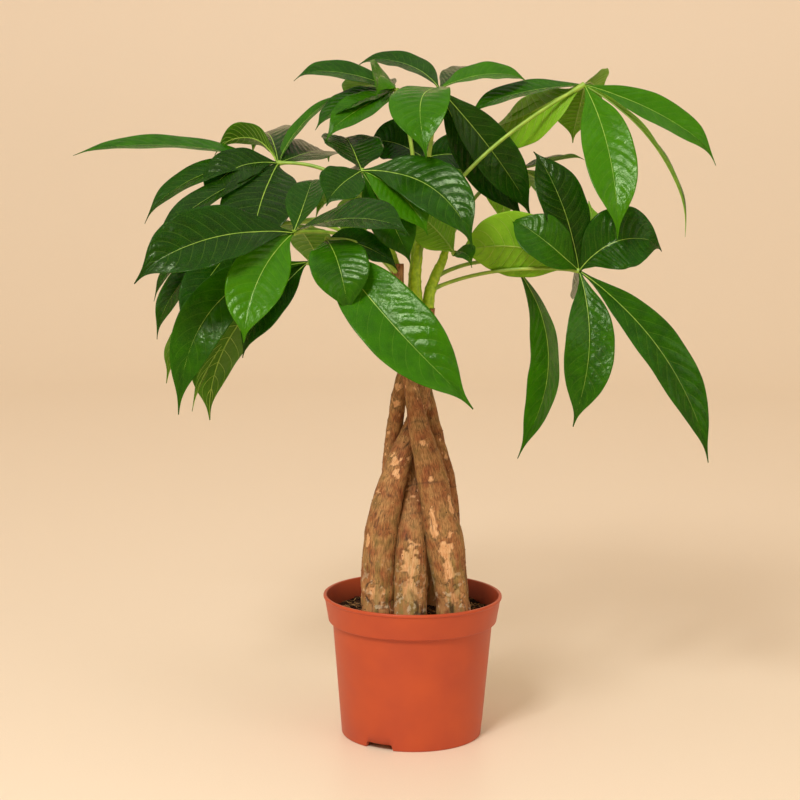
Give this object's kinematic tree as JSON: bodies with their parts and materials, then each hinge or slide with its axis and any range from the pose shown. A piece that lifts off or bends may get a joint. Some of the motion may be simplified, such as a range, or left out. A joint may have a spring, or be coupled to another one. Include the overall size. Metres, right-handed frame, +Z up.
{
  "type": "potted plant",
  "caption": "Potted money tree: braided woody stems in a round nursery pot of soil, with palmate compound leaves of long pointed leaflets on thin stalks",
  "frame": {"origin": "middle of the pot's foot, on the surface it stands on", "axes": "+Z up, -Y towards the front of the plant, +X to its right as seen from the front"},
  "size_m": [0.6058, 0.431, 0.6484],
  "materials": {
    "pot_plastic": "injection-moulded polypropylene, satin terracotta red",
    "potting_soil": "loose dark peat with fibres",
    "bark": "thin grey-brown bark with flaked tan patches",
    "green_shoot": "young green stem, smooth",
    "leaf": "waxy leathery leaf, glossy above and matt beneath"
  },
  "bodies": {
    "root": {"pot": "pot_plastic", "soil": "potting_soil", "stem_front_left": "bark", "stem_front_right": "bark", "stem_middle": "bark", "stem_back_left": "bark", "stem_back_right": "bark", "shoot_left": "green_shoot", "shoot_middle": "green_shoot", "shoot_right": "green_shoot", "shoot_back": "green_shoot", "leaf_front_left": "leaf", "leaf_front": "leaf", "leaf_centre": "leaf", "leaf_low_left": "leaf", "leaf_left": "leaf", "leaf_high_left": "leaf", "leaf_top": "leaf", "leaf_top_left": "leaf", "leaf_high_right": "leaf", "leaf_right": "leaf", "leaf_low_right": "leaf", "leaf_middle_right": "leaf", "leaf_behind_top": "leaf", "leaf_back": "leaf", "leaf_back_right": "leaf", "leaf_back_left": "leaf"}
  },
  "joints": []
}
